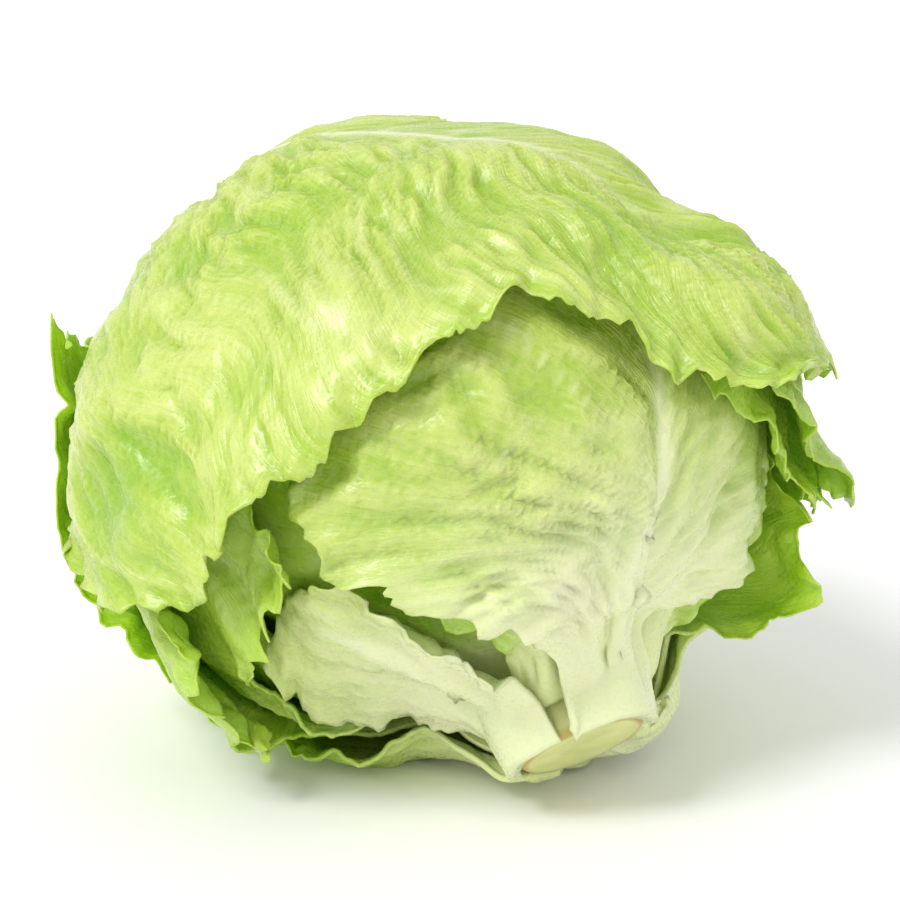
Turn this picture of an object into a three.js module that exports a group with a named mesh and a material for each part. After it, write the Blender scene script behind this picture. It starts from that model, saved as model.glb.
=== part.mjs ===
// A head of iceberg lettuce, lying on a table as it was cut: the cut stem points down, forward and to the
// right, and the outer leaves wrap the tight heart one over another. Millimetres, +Z up, and the origin is
// the middle of the small flat spot that the head rests on.
import * as THREE from "three";

// Driving dimensions

const STEM_AZIMUTH = -58; // degrees from +X, the way that the stem points seen from above
const STEM_DIP = 48; // degrees below the horizon
const FACING_TIP = 16; // degrees above the horizon of the side that leaf azimuths are counted from
const HEART = new THREE.Vector3(66, 67, 61.5); // half sizes of the tight inner head
const HEART_AT = new THREE.Vector3(-4, 1, 5.5); // its middle, from the point that every leaf is measured from
// Where the heart is flatter than an ellipsoid, or fuller where drop is negative. turn says where on its
// outline seen from the front, in degrees up from +X, and reach how far the change spreads, in degrees.
const SHOULDERS = [
  { turn: 25, drop: 26, reach: 46 },
  { turn: 72, drop: 4, reach: 26 },
  { turn: 120, drop: -3, reach: 30 },
  { turn: 224, drop: -7, reach: 30 },
];
const HEART_FLAT = 56.5; // how far below that point the heart is pressed flat
const FLAT_EASE = 2; // how softly the flat spot meets the round
const HEART_STEP = 1.6; // how far each tight heart leaf stands over the next
const HEART_LEAVES = 6;

const CUT = 78; // from the centre to the cut face of the stem
const STEM_RADIUS = 14.6;
const STEM_GAP = 0.4; // between the stem and what grows round it
// The stem's outline from the cut face inward: [distance from the cut face, radius]
const STEM_PROFILE = [[0.6, 0], [0, 9], [0.2, 13.6], [1.2, 14.6], [24, 14.2], [40, 11], [52, 5], [55, 0]];
const STEM_SIDES = 28;

const BLADE = 1.3; // leaf thickness away from the rib
const SEAT_EASE = 2; // how far from its seat a leaf starts to lie on what is under it
const LAYER_GAP = 0.55; // least air between one leaf and the next
const EDGE_POWER = 6; // how close to the margin the teeth stay
const BELLY = 6.8; // how far the lowest leaf bulges down under the head's weight, before it is pressed flat
const BELLY_WAY = new THREE.Vector3(-0.1, 0.01, -0.99).normalize(); // the way to the middle of that bulge
const BELLY_REACH = 24; // degrees, from its middle to its end
const PRESS = 2.3; // how far the lowest leaf is pressed flat against the table

const NOTCH = 3.4; // degrees, the usual depth of the notches between a margin's lobes

const SETTLE_PASSES = 40;
const SETTLE_SMOOTH = 0.4; // how far each point goes to the mean of its neighbours in a pass
const SETTLE_SINK = 0.6; // how far it sinks in a pass
const CLEAR_PASSES = 8; // the last passes, without these two
const SAMPLES = 6; // tests along each side of a facet while a leaf settles
const MAP_CELLS = 72; // cells along each side of the six-sided map of heights
const MAP_SPREAD = 0.026; // how far round itself each point counts on that map, as a share of its radius

const LEAF_GREEN = 0x9cc653;
const LEAF_PALE = 0xc6dc96;
const STEM_CREAM = 0xe0d49a;

// Directions round the head

const rad = THREE.MathUtils.degToRad;
const AXIS = new THREE.Vector3(
  Math.cos(rad(STEM_DIP)) * Math.cos(rad(STEM_AZIMUTH)),
  Math.cos(rad(STEM_DIP)) * Math.sin(rad(STEM_AZIMUTH)),
  -Math.sin(rad(STEM_DIP)),
);
const FRONT = new THREE.Vector3(0, -Math.cos(rad(FACING_TIP)), Math.sin(rad(FACING_TIP)));
FRONT.addScaledVector(AXIS, -FRONT.dot(AXIS)).normalize();
const SIDE = new THREE.Vector3().crossVectors(FRONT, AXIS);
const TOP = new THREE.Vector3(0, Math.sin(rad(FACING_TIP)), Math.cos(rad(FACING_TIP)));

// The way out from the centre at an angle from the stem and an azimuth round it, in degrees.
function towards(polar, azimuth) {
  const ring = Math.sin(rad(polar));
  return new THREE.Vector3()
    .addScaledVector(AXIS, Math.cos(rad(polar)))
    .addScaledVector(FRONT, ring * Math.cos(rad(azimuth)))
    .addScaledVector(SIDE, ring * Math.sin(rad(azimuth)));
}

const smoothstep = THREE.MathUtils.smoothstep;

// A repeatable stream of numbers from 0 to 1.
function randomFrom(seed) {
  let state = seed * 2654435761;
  return () => {
    state = (state + 0x6d2b79f5) | 0;
    let t = Math.imul(state ^ (state >>> 15), 1 | state);
    t = (t + Math.imul(t ^ (t >>> 7), 61 | t)) ^ t;
    return ((t ^ (t >>> 14)) >>> 0) / 4294967296;
  };
}

// What the leaves lie on

function shoulderDrop(way) {
  return SHOULDERS.reduce((sum, { turn, drop, reach }) => {
    const near = way.x * Math.cos(rad(turn)) + way.dot(TOP) * Math.sin(rad(turn));
    return sum + drop * smoothstep(near, Math.cos(rad(reach)), 1);
  }, 0);
}

// The tight heart is nearly an ellipsoid, pressed flat underneath where the head rests.
function heartRadius(way) {
  const step = way.clone().divide(HEART);
  const start = HEART_AT.clone().divide(HEART);
  const along = step.dot(start);
  const reach = Math.sqrt(along * along + step.lengthSq() * (1 - start.lengthSq()));
  const ellipsoid = (along + reach) / step.lengthSq();
  const round = ellipsoid - shoulderDrop(way);
  if (way.z > -0.2) return round;
  const flat = HEART_FLAT / -way.z;
  const soft = FLAT_EASE * Math.log(Math.exp(-round / FLAT_EASE) + Math.exp(-flat / FLAT_EASE));
  return -soft;
}

function stemRadius(way) {
  const along = way.dot(AXIS);
  if (along <= 0) return 0;
  const across = Math.sqrt(1 - along * along);
  return Math.min(CUT / along, (STEM_RADIUS + STEM_GAP) / Math.max(across, 1e-6));
}

// A map of the whole sphere of directions, as six square faces of cells that each hold one number.
class SphereMap {
  constructor(start) {
    this.cells = new Float32Array(6 * MAP_CELLS * MAP_CELLS).fill(start);
  }
  index(way) {
    const parts = [way.x, way.y, way.z];
    const sizes = parts.map(Math.abs);
    const main = sizes.indexOf(Math.max(...sizes));
    const [a, b] = [1, 2].map((n) => parts[(main + n) % 3] / sizes[main]);
    const step = (x) => Math.min(MAP_CELLS - 1, Math.floor(((x + 1) / 2) * MAP_CELLS));
    const face = main * 2 + (parts[main] > 0 ? 1 : 0);
    return (face * MAP_CELLS + step(a)) * MAP_CELLS + step(b);
  }
  at(way) {
    return this.cells[this.index(way)];
  }
  raise(way, value) {
    const n = this.index(way);
    this.cells[n] = Math.max(this.cells[n], value);
  }
}

// Ways out that lie round one way out, on a small ring.
function ringRound(way, reach, count) {
  const side = new THREE.Vector3().crossVectors(way, AXIS).normalize();
  const up = new THREE.Vector3().crossVectors(way, side);
  return Array.from({ length: count }, (_, n) => {
    const turn = (2 * Math.PI * n) / count;
    const near = way.clone().addScaledVector(side, reach * Math.cos(turn));
    return near.addScaledVector(up, reach * Math.sin(turn)).normalize();
  });
}

const heights = new SphereMap(0);
const topLeaf = new SphereMap(-1);

function supportAt(way) {
  return Math.max(heights.at(way), heartRadius(way), stemRadius(way));
}

// The leaves, from the innermost to the outermost

// Each row across a leaf gives its left margin, midrib and right margin as [polar, azimuth] in degrees, from
// the base at the stem to the tip. seat is how far the base ends from the cut face, rib the thickness there.
// flare is how far each free margin stands off, in mm, and lobes how deeply it is cut: left, tip and right.
// flareFrom is the share of the leaf's length where the standing off begins, ruffle the height of the frill
// in mm, belly how far the leaf bulges down, and cells how many facets it has along and across.
function upright(azimuth, reach, spread) {
  const shares = [0, 0.2, 0.45, 0.72, 1];
  const widths = [0.62, 0.72, 1, 1.05, 1.15];
  return shares.map((share, n) => {
    const polar = 14 + (reach - 14) * share;
    const half = spread * widths[n];
    const trail = 9 * share;
    return [
      [polar - trail, azimuth - half],
      [polar, azimuth],
      [polar - trail, azimuth + half],
    ];
  });
}

const LEAVES = [
  { name: "leaf_inner_front", rows: upright(0, 140, 64), seat: 13, rib: 2.2, cells: [9, 12] },
  { name: "leaf_inner_right", rows: upright(120, 140, 64), seat: 13, rib: 2.2, cells: [9, 12] },
  { name: "leaf_inner_left", rows: upright(-120, 140, 64), seat: 13, rib: 2.2, cells: [9, 12] },
  { name: "leaf_inner_back", rows: upright(178, 150, 52), seat: 12, rib: 2.2, cells: [10, 12] },
  {
    name: "leaf_right_under",
    seat: 10, rib: 3, flare: [0, 0, 1.5], cells: [11, 12],
    rows: [
      [[13, 68], [13, 98], [13, 128]],
      [[24, 56], [25, 86], [24, 114]],
      [[38, 48], [38, 74], [34, 97]],
      [[60, 44], [62, 68], [57, 91]],
      [[80, 44], [82, 66], [78, 90]],
    ],
  },
  {
    name: "leaf_front_under",
    seat: 10, rib: 3, flare: [2, 0, 0], cells: [11, 12],
    rows: [
      [[13, -34], [13, -12], [13, 10]],
      [[25, -17], [26, 0], [26, 20]],
      [[34, -19], [40, 0], [40, 28]],
      [[48, -26], [60, -4], [60, 30]],
      [[66, -26], [80, -4], [80, 28]],
    ],
  },
  {
    name: "leaf_lower_left",
    seat: 0, rib: 4, flare: [1, 2, 3], ruffle: 1.6, lobes: [0.5, 1, 0.5], cells: [12, 14],
    rows: [
      [[12, -102], [12, -58], [12, -14]],
      [[22, -104], [22, -54], [23, -16]],
      [[33, -99], [36, -45], [36, -20]],
      [[46, -90], [50, -46], [50, -26]],
      [[58, -66], [62, -46], [58, -32]],
    ],
  },
  {
    name: "leaf_front",
    seat: 0, rib: 4.4, flare: [3, 1, 2], ruffle: 2.2, lobes: [1, 1, 0.2], cells: [15, 18],
    rows: [
      [[12, -5], [12, 43], [12, 91]],
      [[25, 1], [24, 36], [24, 62]],
      [[40, -12], [41, 35], [36, 80]],
      [[52, -27], [57, 38], [50, 84]],
      [[68, -33], [76, 38], [64, 74]],
      [[92, -18], [98, 34], [87, 66]],
    ],
  },
  {
    name: "leaf_right_low",
    seat: 8, rib: 3, flare: [18, 4, 1], flareFrom: 0.25, ruffle: 3.4, cells: [15, 13],
    rows: [
      [[12, 120], [12, 134], [12, 148]],
      [[24, 131], [26, 148], [27, 170]],
      [[34, 98], [44, 140], [48, 178]],
      [[45, 87], [62, 132], [70, 172]],
      [[56, 81], [78, 118], [90, 158]],
      [[66, 80], [90, 108], [104, 140]],
    ],
  },
  {
    name: "leaf_right_inner",
    seat: 6, rib: 3, flare: [2, 4, 0], ruffle: 2.2, cells: [16, 10],
    rows: [
      [[12, 173], [12, 164], [12, 155]],
      [[46, 152], [38, 144], [32, 135]],
      [[76, 128], [62, 121], [44, 114]],
      [[92, 94], [78, 97], [52, 100]],
      [[90, 66], [76, 76], [54, 91]],
      [[82, 48], [68, 62], [52, 85]],
      [[68, 42], [57, 57], [50, 78]],
    ],
  },
  {
    name: "leaf_left_inner",
    seat: 8, rib: 3, flare: [1, 3, 2], ruffle: 2.2, cells: [16, 10],
    rows: [
      [[12, -132], [12, -122], [12, -113]],
      [[44, -140], [36, -124], [28, -108]],
      [[84, -134], [64, -110], [42, -96]],
      [[112, -104], [86, -86], [54, -84]],
      [[104, -54], [84, -62], [58, -76]],
      [[80, -34], [70, -50], [55, -70]],
      [[62, -32], [57, -48], [53, -66]],
    ],
  },
  {
    name: "leaf_left_lower",
    seat: 6, rib: 3, flare: [1, 6, 7], ruffle: 2.8, cells: [16, 11],
    rows: [
      [[12, -174], [12, -158], [12, -143]],
      [[50, -172], [38, -150], [28, -128]],
      [[94, -162], [70, -132], [42, -112]],
      [[120, -126], [92, -108], [52, -99]],
      [[110, -86], [88, -88], [55, -92]],
      [[88, -66], [72, -78], [51, -90]],
      [[65, -60], [56, -74], [46, -88]],
    ],
  },
  {
    name: "leaf_right_outer",
    seat: 3, rib: 3, flare: [2, 2, 2.5], ruffle: 2.4, cells: [16, 11],
    rows: [
      [[12, 147], [12, 132], [12, 117]],
      [[46, 150], [40, 142], [30, 133]],
      [[80, 138], [66, 128], [44, 119]],
      [[98, 112], [82, 109], [54, 106]],
      [[98, 84], [82, 90], [57, 97]],
      [[88, 62], [73, 76], [57, 94]],
      [[66, 54], [57, 70], [54, 91]],
    ],
  },
  {
    name: "leaf_crown",
    seat: 4, rib: 3, flare: [4, 0.5, 2], ruffle: 1.8, cells: [30, 14],
    rows: [
      [[12, -163], [12, 177], [12, 157]],
      [[46, -168], [46, 168], [42, 146]],
      [[76, -140], [86, 178], [78, 146]],
      [[96, -104], [120, -170], [110, 148]],
      [[94, -83], [140, -145], [130, 150]],
      [[75, -66], [152, -105], [146, 146]],
      [[66, -48], [154, -50], [148, 130]],
      [[71, -32], [148, -10], [142, 116]],
      [[72, -17], [138, 14], [134, 108]],
      [[78, -1], [126, 30], [124, 104]],
      [[82, 14], [114, 42], [114, 102]],
      [[75, 27], [100, 52], [104, 101]],
      [[64, 41], [86, 64], [92, 101]],
      [[66, 57], [71, 76], [75, 100]],
    ],
  },
  {
    name: "leaf_underneath",
    seat: 1, rib: 2.4, flare: [4, 5, 5], flareFrom: 0.55, ruffle: 3.4, belly: BELLY, cells: [15, 15],
    rows: [
      [[12, -153], [12, -132], [12, -111]],
      [[30, -188], [30, -146], [26, -108]],
      [[55, -200], [56, -148], [44, -102]],
      [[85, -202], [86, -146], [68, -101]],
      [[112, -202], [112, -136], [94, -91]],
      [[136, -192], [136, -116], [122, -64]],
    ],
  },
];

// The form of one leaf

// The curves along the left margin, the midrib and the right margin, through the rows' points.
function leafCurves(rows) {
  return [0, 1, 2].map((side) => {
    const points = rows.map((row) => towards(...row[side]));
    return new THREE.CatmullRomCurve3(points, false, "catmullrom", 0.5);
  });
}

// The way out at u from base to tip, 0 to 1, and v from the left margin to the right, -1 to 1.
function leafWay(curves, u, v) {
  const [left, middle, right] = curves.map((curve) => curve.getPoint(u));
  return middle
    .multiplyScalar(1 - v * v)
    .addScaledVector(left, (v * v - v) / 2)
    .addScaledVector(right, (v * v + v) / 2)
    .normalize();
}

// How far each margin point is cut back, in radians: every second one is a notch between lobes.
function notches(count, depth, random) {
  return Array.from({ length: count + 1 }, (_, n) => (n % 2 ? 0 : depth * rad(NOTCH) * (0.5 + random())));
}

function leafGrid(leaf, order) {
  const [along, across] = leaf.cells;
  const random = randomFrom(order + 11);
  const curves = leafCurves(leaf.rows);
  const [left, end, right] = leaf.lobes ?? [1, 1, 1];
  const tip = notches(across, end, random);
  const sides = [notches(along, left, random), notches(along, right, random)];
  const length = leafWay(curves, 0.8, 0).angleTo(leafWay(curves, 1, 0)) / 0.2;
  const lobeWidth = leafWay(curves, 1, -0.5).angleTo(leafWay(curves, 1, 0.5)) / across;
  const tipDepth = Math.min(1, (2 * lobeWidth) / rad(NOTCH));
  return Array.from({ length: along + 1 }, (_, i) =>
    Array.from({ length: across + 1 }, (_, j) => {
      const plainU = (i / along) ** 1.15;
      const plainV = (2 * j) / across - 1;
      const side = plainV < 0 ? 0 : 1;
      const width = leafWay(curves, plainU, 0).angleTo(leafWay(curves, plainU, side * 2 - 1));
      const free = smoothstep(plainU, 0.12, 0.35);
      const u = plainU - ((tipDepth * tip[j]) / length) * plainU ** (2 * EDGE_POWER);
      const v = plainV * (1 - ((free * sides[side][i]) / width) * Math.abs(plainV) ** EDGE_POWER);
      return { u, v, way: leafWay(curves, u, v) };
    }),
  );
}

const between = (a, b, share) => a + (b - a) * share;

// Each square of a grid is split into two triangles, along one diagonal or the other in turn.
const splitDown = (i, j) => (i + j) % 2 === 1;

// Calls test with many points of every triangle of a grid, and with the shares of its corners in each point.
function eachSample(points, samples, test) {
  const spot = new THREE.Vector3();
  for (let i = 0; i + 1 < points.length; i++) {
    for (let j = 0; j + 1 < points[i].length; j++) {
      const square = splitDown(i, j)
        ? [[i, j], [i + 1, j], [i + 1, j + 1], [i, j + 1]]
        : [[i + 1, j], [i + 1, j + 1], [i, j + 1], [i, j]];
      for (let s = 0; s <= samples; s++) {
        for (let t = 0; t <= samples; t++) {
          const [low, high] = [Math.min(s, t) / samples, Math.max(s, t) / samples];
          const corners = [square[0], square[s > t ? 1 : 3], square[2]];
          const shares = [1 - high, high - low, low];
          spot.set(0, 0, 0);
          corners.forEach(([a, b], n) => spot.addScaledVector(points[a][b], shares[n]));
          test(spot, corners, shares);
        }
      }
    }
  }
}

// A leaf's base ends on the side of the stem, at its seat.
function seatPoint(way, seat, standOff) {
  const out = way.clone().addScaledVector(AXIS, -way.dot(AXIS)).normalize();
  return out.multiplyScalar(STEM_RADIUS + STEM_GAP + standOff).addScaledVector(AXIS, CUT - seat);
}

// Lays a leaf over what is already there: it sinks evenly, and is pushed up where a facet would dip in. In
// the last passes it is only pushed up.
function settle(grid, seat) {
  const radii = grid.map((row) => row.map(({ way }) => supportAt(way) + 3));
  const pointAt = (i, j) =>
    i === 0 ? seatPoint(grid[0][j].way, seat, 0) : grid[i][j].way.clone().multiplyScalar(radii[i][j]);
  const rows = grid.length;
  const columns = grid[0].length;
  grid[0].forEach((_, j) => {
    radii[0][j] = pointAt(0, j).length();
  });
  for (let pass = 0; pass < SETTLE_PASSES + CLEAR_PASSES; pass++) {
    const before = radii.map((row) => row.slice());
    for (let i = 1; i < rows && pass < SETTLE_PASSES; i++) {
      for (let j = 0; j < columns; j++) {
        const round = [[i - 1, j], [i + 1, j], [i, j - 1], [i, j + 1]];
        const near = round.map(([a, b]) => before[a]?.[b]).filter((radius) => radius !== undefined);
        const mean = near.reduce((sum, radius) => sum + radius, 0) / near.length;
        radii[i][j] = between(before[i][j], mean, SETTLE_SMOOTH) - SETTLE_SINK;
      }
    }
    const lifts = radii.map((row) => row.map(() => 0));
    const points = radii.map((row, i) => row.map((_, j) => pointAt(i, j)));
    eachSample(points, SAMPLES, (spot, corners, shares) => {
      if (spot.dot(AXIS) > CUT - seat - SEAT_EASE) return;
      const radius = spot.length();
      const short = supportAt(spot.clone().divideScalar(radius)) + LAYER_GAP - radius;
      if (short <= 0) return;
      const total = shares.reduce((sum, share) => sum + share * share, 0);
      corners.forEach(([a, b], n) => {
        lifts[a][b] = Math.max(lifts[a][b], (short * shares[n]) / total);
      });
    });
    for (let i = 1; i < rows; i++) {
      for (let j = 0; j < columns; j++) radii[i][j] += lifts[i][j];
    }
  }
  return radii;
}

// Where nothing lies over a leaf, its margin stands off and ruffles.
function freeShare(way, order) {
  const near = [...ringRound(way, 0.05, 6), ...ringRound(way, 0.1, 6)];
  return near.filter((spot) => topLeaf.at(spot) <= order).length / near.length;
}

function standOff(leaf, order, { u, v, way }) {
  const [left, tip, right] = leaf.flare ?? [0, 0, 0];
  const edge = Math.max(Math.abs(v), u, 1e-6);
  const [alongEdge, acrossEdge] = [u / edge, v / edge];
  const [rows, columns] = leaf.cells;
  const sideMargin = Math.sign(v) * (columns / 2 + (1 - alongEdge) * rows);
  const margin = alongEdge >= 1 ? (acrossEdge * columns) / 2 : sideMargin;
  const wave = 0.5 + 0.5 * Math.sin((2 * Math.PI * margin) / 4.3 + order);
  const start = leaf.flareFrom ?? 0.12;
  const away = smoothstep(u, start, start + 0.23);
  const flare = Math.max(
    away * left * smoothstep(-v, 0.45, 1) ** 2,
    away * right * smoothstep(v, 0.45, 1) ** 2,
    tip * smoothstep(u, 0.6, 1) ** 2,
  );
  const ruffle = (leaf.ruffle ?? 0.6) * away * wave * smoothstep(edge, 0.5, 1) ** 1.5;
  return freeShare(way, order) * (flare + ruffle);
}

function bulge(leaf, way) {
  return (leaf.belly ?? 0) * smoothstep(way.dot(BELLY_WAY), Math.cos(rad(BELLY_REACH)), 1);
}

// A leaf is thick at its base and along its rib, and thin everywhere else.
function thickness(leaf, u, v) {
  const ribHalf = 0.15 + 0.8 * Math.exp(-u / 0.1);
  return BLADE + (leaf.rib - BLADE) * (1 - u) ** 1.6 * Math.exp(-((v / ribHalf) ** 2));
}

// The unit normals of a grid of points, facing away from the head's centre.
function gridNormals(points) {
  const rows = points.length;
  const columns = points[0].length;
  return points.map((row, i) =>
    row.map((point, j) => {
      const down = points[Math.min(i + 1, rows - 1)][j].clone().sub(points[Math.max(i - 1, 0)][j]);
      const over = row[Math.min(j + 1, columns - 1)].clone().sub(row[Math.max(j - 1, 0)]);
      const normal = down.cross(over).normalize();
      return normal.dot(point) < 0 ? normal.negate() : normal;
    }),
  );
}

function leafFaces(leaf, order) {
  const grid = leafGrid(leaf, order);
  const radii = settle(grid, leaf.seat);
  const inner = grid.map((row, i) =>
    row.map((spot, j) =>
      i === 0
        ? seatPoint(spot.way, leaf.seat, 0)
        : spot.way.clone().multiplyScalar(radii[i][j] + standOff(leaf, order, spot) + bulge(leaf, spot.way)),
    ),
  );
  const normals = gridNormals(inner);
  const outer = grid.map((row, i) =>
    row.map(({ u, v, way }, j) =>
      i === 0
        ? seatPoint(way, leaf.seat, thickness(leaf, u, v))
        : inner[i][j].clone().addScaledVector(normals[i][j], thickness(leaf, u, v)),
    ),
  );
  eachSample(outer, 10, (spot) => {
    const radius = spot.length();
    const way = spot.clone().divideScalar(radius);
    for (const near of [way, ...ringRound(way, MAP_SPREAD, 8)]) heights.raise(near, radius);
  });
  return { outer, inner };
}

// Solids

function geometryOf(points, faces) {
  const geometry = new THREE.BufferGeometry();
  geometry.setAttribute("position", new THREE.Float32BufferAttribute(points.flatMap((p) => p.toArray()), 3));
  geometry.setIndex(faces.flat());
  return geometry;
}

// A closed sheet from an outer and an inner grid. Both faces are split along the same diagonals.
function sheetGeometry(outer, inner) {
  const rows = outer.length;
  const columns = outer[0].length;
  const points = [...outer.flat(), ...inner.flat()];
  const outerAt = (i, j) => i * columns + j;
  const innerAt = (i, j) => rows * columns + i * columns + j;
  const faces = [];
  for (let i = 0; i + 1 < rows; i++) {
    for (let j = 0; j + 1 < columns; j++) {
      const corners = [[i, j], [i + 1, j], [i + 1, j + 1], [i, j + 1]];
      const [a, b, c, d] = corners.map(([x, y]) => outerAt(x, y));
      const [e, f, g, h] = corners.map(([x, y]) => innerAt(x, y));
      if (splitDown(i, j)) faces.push([a, b, c], [a, c, d], [e, g, f], [e, h, g]);
      else faces.push([a, b, d], [b, c, d], [e, h, f], [f, h, g]);
    }
  }
  const rim = [];
  for (let i = 0; i + 1 < rows; i++) rim.push([i, 0]);
  for (let j = 0; j + 1 < columns; j++) rim.push([rows - 1, j]);
  for (let i = rows - 1; i > 0; i--) rim.push([i, columns - 1]);
  for (let j = columns - 1; j > 0; j--) rim.push([0, j]);
  rim.forEach(([i, j], n) => {
    const [k, l] = rim[(n + 1) % rim.length];
    faces.push([outerAt(i, j), innerAt(k, l), outerAt(k, l)], [outerAt(i, j), innerAt(i, j), innerAt(k, l)]);
  });
  return geometryOf(points, faces);
}

// Turns every face round if the solid is inside out.
function facingOut(geometry) {
  const at = geometry.getAttribute("position");
  const index = geometry.index.array;
  const [a, b, c] = [0, 1, 2].map(() => new THREE.Vector3());
  let volume = 0;
  for (let n = 0; n < index.length; n += 3) {
    [a, b, c].forEach((corner, k) => corner.fromBufferAttribute(at, index[n + k]));
    volume += a.dot(b.cross(c));
  }
  if (volume < 0) {
    for (let n = 0; n < index.length; n += 3) [index[n + 1], index[n + 2]] = [index[n + 2], index[n + 1]];
  }
  geometry.computeVertexNormals();
  return geometry;
}

// A surface of rings round the stem's axis, closed by a point at each end.
function ringsGeometry(first, rings, last) {
  const sides = rings[0].length;
  const points = [first, ...rings.flat(), last];
  const at = (ring, side) => 1 + ring * sides + (side % sides);
  const faces = [];
  for (let side = 0; side < sides; side++) {
    faces.push([0, at(0, side), at(0, side + 1)]);
    for (let ring = 0; ring + 1 < rings.length; ring++) {
      faces.push([at(ring, side), at(ring + 1, side), at(ring + 1, side + 1)]);
      faces.push([at(ring, side), at(ring + 1, side + 1), at(ring, side + 1)]);
    }
    faces.push([at(rings.length - 1, side + 1), at(rings.length - 1, side), points.length - 1]);
  }
  return geometryOf(points, faces);
}

// The point at a height along the stem's axis, a radius from it and an azimuth round it.
function aroundStem(height, radius, azimuth) {
  const out = towards(90, azimuth).multiplyScalar(radius);
  return out.addScaledVector(AXIS, height);
}

function stemRing(distance, radius) {
  const turn = 360 / STEM_SIDES;
  return Array.from({ length: STEM_SIDES }, (_, n) => aroundStem(CUT - distance, radius, turn * n));
}

function stemGeometry() {
  const [cut, ...sides] = STEM_PROFILE;
  const top = sides.pop();
  const rings = sides.map(([distance, radius]) => stemRing(distance, radius));
  return ringsGeometry(aroundStem(CUT - cut[0], 0, 0), rings, aroundStem(CUT - top[0], 0, 0));
}

// The heart: tight leaves that overlap in low steps round its side, open underneath where the stem runs in.
function heartGeometry() {
  const ringSides = STEM_SIDES + 8;
  const polars = [168, 155, 141, 127, 113, 99, 85, 71, 57, 43, 31, 22];
  const outside = polars.map((polar) =>
    Array.from({ length: ringSides }, (_, n) => {
      const azimuth = (360 * n) / ringSides;
      const way = towards(polar, azimuth);
      const turn = (azimuth / 360) * HEART_LEAVES + 0.35 * Math.sin(rad(2 * polar)) + polar / 220;
      const step = HEART_STEP * (turn - Math.floor(turn)) * Math.sin(rad(polar)) ** 2;
      return way.multiplyScalar(heartRadius(way) - step);
    }),
  );
  const mouth = heartRadius(towards(16, 0)) * Math.cos(rad(16));
  const depths = [CUT - mouth, 33, 40, 52];
  const widths = [STEM_RADIUS, 13.6, 11, 5];
  const socket = depths.map((depth, n) =>
    Array.from({ length: ringSides }, (_, k) =>
      aroundStem(CUT - depth, widths[n] + 2 * STEM_GAP, (360 * k) / ringSides),
    ),
  );
  const crown = towards(180, 0);
  crown.multiplyScalar(heartRadius(crown));
  return ringsGeometry(crown, [...outside, ...socket], aroundStem(CUT - 56, 0, 0));
}

// The head

LEAVES.forEach((leaf, order) => {
  const curves = leafCurves(leaf.rows);
  for (let i = 0; i <= 120; i++) {
    for (let j = 0; j <= 120; j++) topLeaf.raise(leafWay(curves, i / 120, j / 60 - 1), order);
  }
});
const laid = LEAVES.map(leafFaces);

// The head comes down until its lowest leaf is pressed flat on the table.
const lowest = Math.min(...laid.flatMap(({ outer }) => outer.flat().map((point) => point.z)));
const lift = -lowest - PRESS;
for (const { outer, inner } of laid) {
  for (const point of outer.flat()) point.z = Math.max(point.z, -lift);
  for (const point of inner.flat()) point.z = Math.max(point.z, -lift + BLADE);
}

const head = new THREE.Group();

function addPiece(name, geometry, color, roughness) {
  const material = new THREE.MeshStandardMaterial({ color, roughness, metalness: 0 });
  const mesh = new THREE.Mesh(facingOut(geometry.translate(0, 0, lift)), material);
  mesh.name = name;
  head.add(mesh);
}

addPiece("stem", stemGeometry(), STEM_CREAM, 0.6);
addPiece("heart", heartGeometry(), LEAF_PALE, 0.5);
LEAVES.forEach((leaf, n) => {
  const { outer, inner } = laid[n];
  addPiece(leaf.name, sheetGeometry(outer, inner), leaf.seat > 10 ? LEAF_PALE : LEAF_GREEN, 0.4);
});

export default head;
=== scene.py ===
import math

import bmesh
import bpy
import numpy as np
from mathutils import Matrix, Vector
from mathutils.bvhtree import BVHTree
from mathutils.kdtree import KDTree


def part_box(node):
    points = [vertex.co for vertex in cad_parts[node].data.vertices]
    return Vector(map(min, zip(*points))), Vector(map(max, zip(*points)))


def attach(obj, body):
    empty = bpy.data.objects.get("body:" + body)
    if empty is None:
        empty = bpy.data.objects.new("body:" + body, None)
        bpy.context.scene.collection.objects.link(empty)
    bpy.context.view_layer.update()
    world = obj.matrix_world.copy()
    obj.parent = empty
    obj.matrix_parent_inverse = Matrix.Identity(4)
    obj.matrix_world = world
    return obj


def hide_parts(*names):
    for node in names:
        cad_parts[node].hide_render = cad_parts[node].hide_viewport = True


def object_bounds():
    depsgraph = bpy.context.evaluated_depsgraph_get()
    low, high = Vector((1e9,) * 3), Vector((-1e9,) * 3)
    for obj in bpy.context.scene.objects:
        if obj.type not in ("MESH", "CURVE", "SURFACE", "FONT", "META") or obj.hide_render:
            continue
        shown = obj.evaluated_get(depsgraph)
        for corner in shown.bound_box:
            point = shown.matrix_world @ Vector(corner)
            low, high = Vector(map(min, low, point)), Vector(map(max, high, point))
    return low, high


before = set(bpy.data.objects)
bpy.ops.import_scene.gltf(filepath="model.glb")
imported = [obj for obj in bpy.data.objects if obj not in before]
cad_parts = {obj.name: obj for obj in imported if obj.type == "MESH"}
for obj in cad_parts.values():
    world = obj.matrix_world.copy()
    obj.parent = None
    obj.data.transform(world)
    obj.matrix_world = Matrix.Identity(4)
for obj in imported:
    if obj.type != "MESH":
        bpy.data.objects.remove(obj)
cad_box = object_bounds()

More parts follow.
